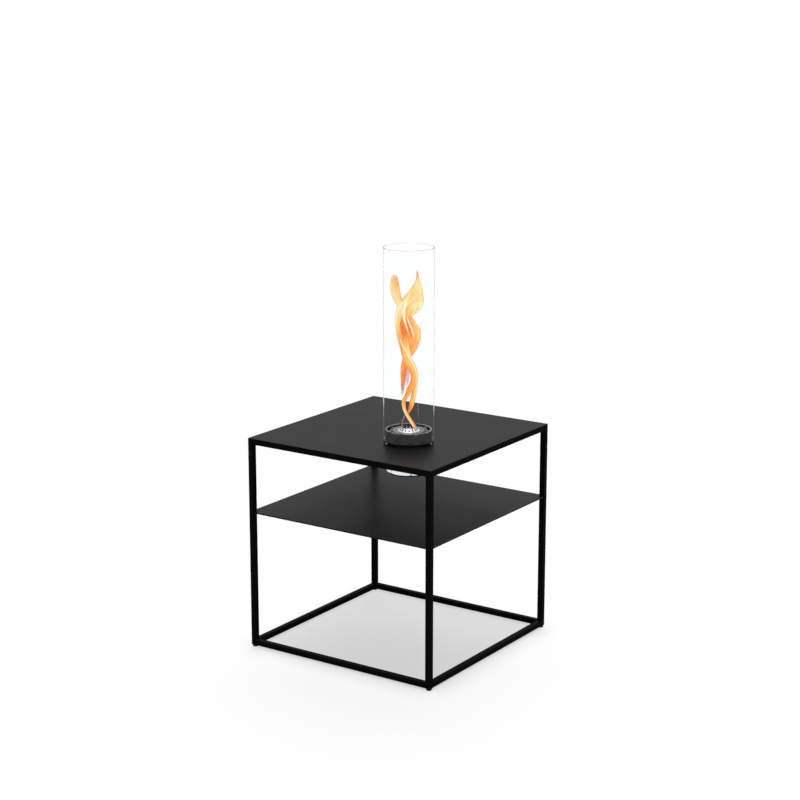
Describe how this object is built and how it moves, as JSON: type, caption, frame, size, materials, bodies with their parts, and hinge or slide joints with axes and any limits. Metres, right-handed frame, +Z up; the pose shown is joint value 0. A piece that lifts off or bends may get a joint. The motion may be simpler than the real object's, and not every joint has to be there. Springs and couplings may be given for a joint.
{
  "type": "bioethanol fireplace",
  "caption": "Slim square side table in black steel tube with a lower shelf, and a bioethanol burner with a clear glass flame tube set in its top near one corner.",
  "frame": {"origin": "on the floor under the middle of the table", "axes": "+Z up, front towards -Y, +X to the right; the burner stands towards the front right corner"},
  "size_m": [0.4, 0.4, 0.76],
  "materials": {
    "frame_coat": "fine satin black powder coat",
    "top_coat": "matte dark powder coat",
    "shelf_coat": "matte dark powder coat",
    "ring_coat": "matte black coat",
    "foot_plastic": "matte",
    "zinc_steel": "zinc plated",
    "rivet_steel": "plain",
    "pot_steel": "polished stainless",
    "can_steel": "brushed stainless",
    "plate_steel": "polished stainless",
    "wool": "felted ceramic fibre",
    "clear_glass": "clear borosilicate"
  },
  "bodies": {
    "table": {"leg_front_left": "frame_coat", "leg_front_right": "frame_coat", "leg_back_right": "frame_coat", "leg_back_left": "frame_coat", "top_rail_front": "frame_coat", "top_rail_back": "frame_coat", "top_rail_left": "frame_coat", "top_rail_right": "frame_coat", "bottom_rail_front": "frame_coat", "bottom_rail_back": "frame_coat", "bottom_rail_left": "frame_coat", "bottom_rail_right": "frame_coat", "tabletop": "top_coat", "shelf": "shelf_coat", "foot_plug_front_left": "zinc_steel", "foot_plug_front_right": "zinc_steel", "foot_plug_back_right": "zinc_steel", "foot_plug_back_left": "zinc_steel"},
    "foot_front_left": {"levelling_foot_front_left": "foot_plastic"},
    "foot_front_right": {"levelling_foot_front_right": "foot_plastic"},
    "foot_back_right": {"levelling_foot_back_right": "foot_plastic"},
    "foot_back_left": {"levelling_foot_back_left": "foot_plastic"},
    "burner_insert": {"swirl_ring": "ring_coat", "burner_pot": "pot_steel", "pot_rivet_1": "rivet_steel", "pot_rivet_2": "rivet_steel", "pot_rivet_3": "rivet_steel"},
    "fuel_can_set": {"fuel_can": "can_steel", "ceramic_wool": "wool", "can_plate": "plate_steel", "flame_crown": "plate_steel"},
    "glass": {"glass_tube": "clear_glass"}
  },
  "joints": [
    {"name": "foot_screw_front_left", "type": "slide", "parent": "table", "child": "foot_front_left", "axis": [0, 0, -1], "range_m": [0, 0.005]},
    {"name": "foot_screw_front_right", "type": "slide", "parent": "table", "child": "foot_front_right", "axis": [0, 0, -1], "range_m": [0, 0.005]},
    {"name": "foot_screw_back_right", "type": "slide", "parent": "table", "child": "foot_back_right", "axis": [0, 0, -1], "range_m": [0, 0.005]},
    {"name": "foot_screw_back_left", "type": "slide", "parent": "table", "child": "foot_back_left", "axis": [0, 0, -1], "range_m": [0, 0.005]},
    {"name": "insert_lift", "type": "slide", "parent": "table", "child": "burner_insert", "axis": [0, 0, 1], "range_m": [0, 0.08]},
    {"name": "can_lift", "type": "slide", "parent": "burner_insert", "child": "fuel_can_set", "axis": [0, 0, 1], "range_m": [0, 0.1]},
    {"name": "glass_lift", "type": "slide", "parent": "burner_insert", "child": "glass", "axis": [0, 0, 1], "range_m": [0, 0.12]}
  ]
}
